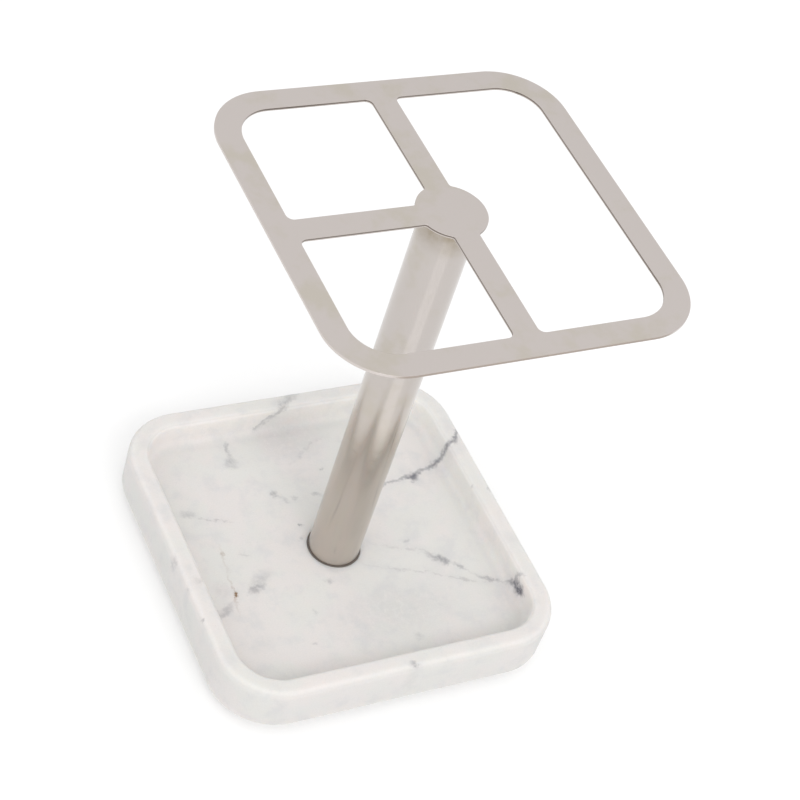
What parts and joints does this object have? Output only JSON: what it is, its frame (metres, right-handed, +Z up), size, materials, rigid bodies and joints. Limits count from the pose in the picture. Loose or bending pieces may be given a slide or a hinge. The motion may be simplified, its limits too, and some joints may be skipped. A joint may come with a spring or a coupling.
{
  "type": "razor stand",
  "caption": "Square dished marble base with a central round steel post carrying a flat steel frame divided into windows, for standing razors and brushes.",
  "frame": {"origin": "centre of the base's footprint, on the surface that the feet stand on", "axes": "+Z up along the post; +X towards the side of the frame with the one large window; +Y towards the rear"},
  "size_m": [0.11, 0.11, 0.149],
  "materials": {
    "marble": "honed white marble with grey veins",
    "satin_steel": "satin stainless steel",
    "weld_steel": "cleaned weld",
    "turned_steel": "turned",
    "black_rubber": "matte",
    "zinc_steel": "bright zinc plate",
    "foot_silicone": "translucent, satin"
  },
  "bodies": {
    "root": {"marble_base": "marble", "post_tube": "satin_steel", "top_frame": "satin_steel", "weld_bead": "weld_steel", "threaded_plug": "turned_steel", "foot_gasket": "black_rubber", "clamp_washer": "zinc_steel", "lock_washer": "zinc_steel", "fixing_screw": "zinc_steel", "foot_front_left": "foot_silicone", "foot_front_right": "foot_silicone", "foot_rear_left": "foot_silicone", "foot_rear_right": "foot_silicone"}
  },
  "joints": []
}
